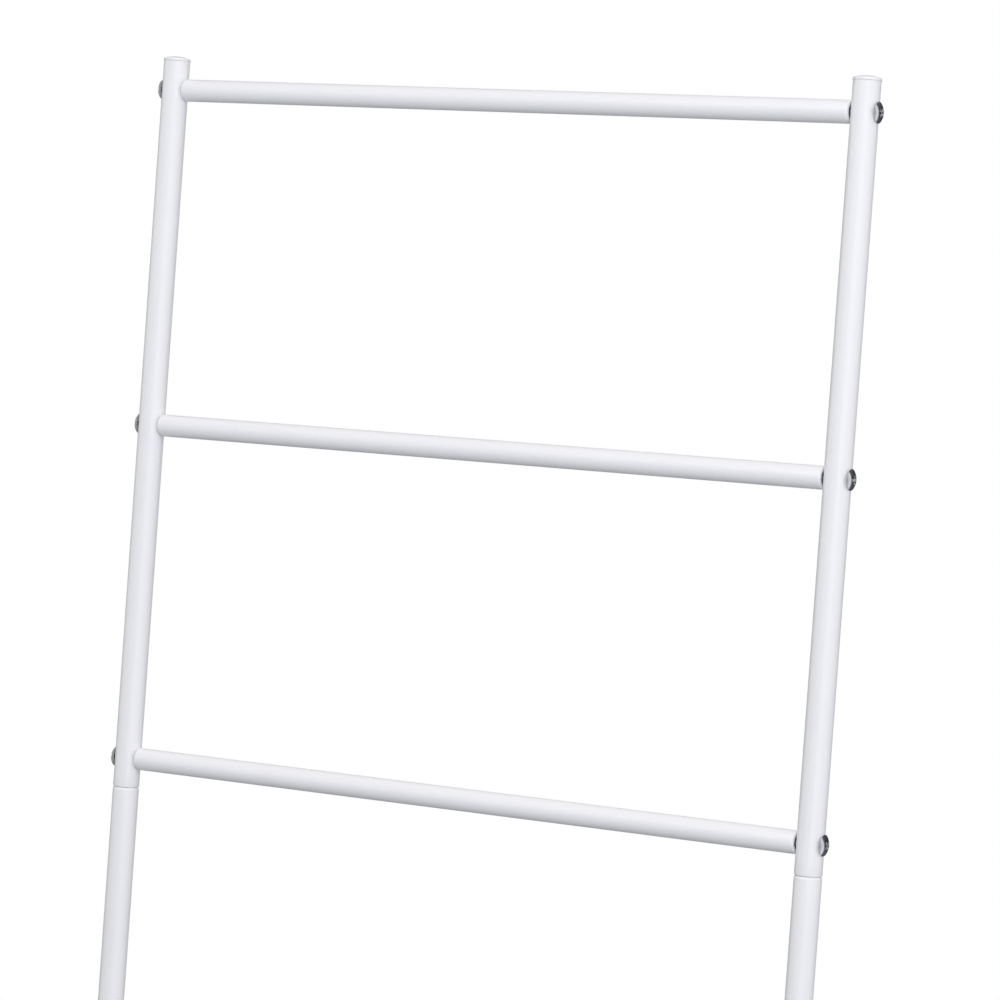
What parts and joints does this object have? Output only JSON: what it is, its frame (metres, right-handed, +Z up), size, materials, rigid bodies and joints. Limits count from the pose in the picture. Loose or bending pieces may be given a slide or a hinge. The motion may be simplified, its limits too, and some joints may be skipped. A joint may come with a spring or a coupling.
{
  "type": "leaning quilt rack",
  "caption": "Leaning ladder rack for quilts and blankets: white sectional steel tube uprights joined by round rungs, with domed side screws, top caps and rubber feet.",
  "frame": {"origin": "on the floor, midway between the two feet in width, and midway in depth between the front edge of the feet and the wall that the top caps rest on", "axes": "+X along the rungs towards the right upright as seen from the room, +Y towards the wall, +Z up; the rack is in its leaning stance"},
  "size_m": [0.574, 0.245, 1.4991],
  "materials": {
    "powder_coat": "satin white powder coat",
    "screw_plate": "bright nickel plate",
    "insert_steel": "dark zinc-plated steel",
    "cap_plastic": "moulded white plastic",
    "foot_rubber": "light grey rubber"
  },
  "bodies": {
    "root": {"upright_upper_left": "powder_coat", "upright_upper_right": "powder_coat", "upright_middle_left": "powder_coat", "upright_middle_right": "powder_coat", "upright_lower_left": "powder_coat", "upright_lower_right": "powder_coat", "rung_1": "powder_coat", "rung_2": "powder_coat", "rung_3": "powder_coat", "rung_4": "powder_coat", "rung_5": "powder_coat", "rung_6": "powder_coat", "rung_1_insert_left": "insert_steel", "rung_1_insert_right": "insert_steel", "rung_2_insert_left": "insert_steel", "rung_2_insert_right": "insert_steel", "rung_3_insert_left": "insert_steel", "rung_3_insert_right": "insert_steel", "rung_4_insert_left": "insert_steel", "rung_4_insert_right": "insert_steel", "rung_5_insert_left": "insert_steel", "rung_5_insert_right": "insert_steel", "rung_6_insert_left": "insert_steel", "rung_6_insert_right": "insert_steel", "screws_left": "screw_plate", "screws_right": "screw_plate", "cap_left": "cap_plastic", "cap_right": "cap_plastic", "foot_left": "foot_rubber", "foot_right": "foot_rubber"}
  },
  "joints": []
}
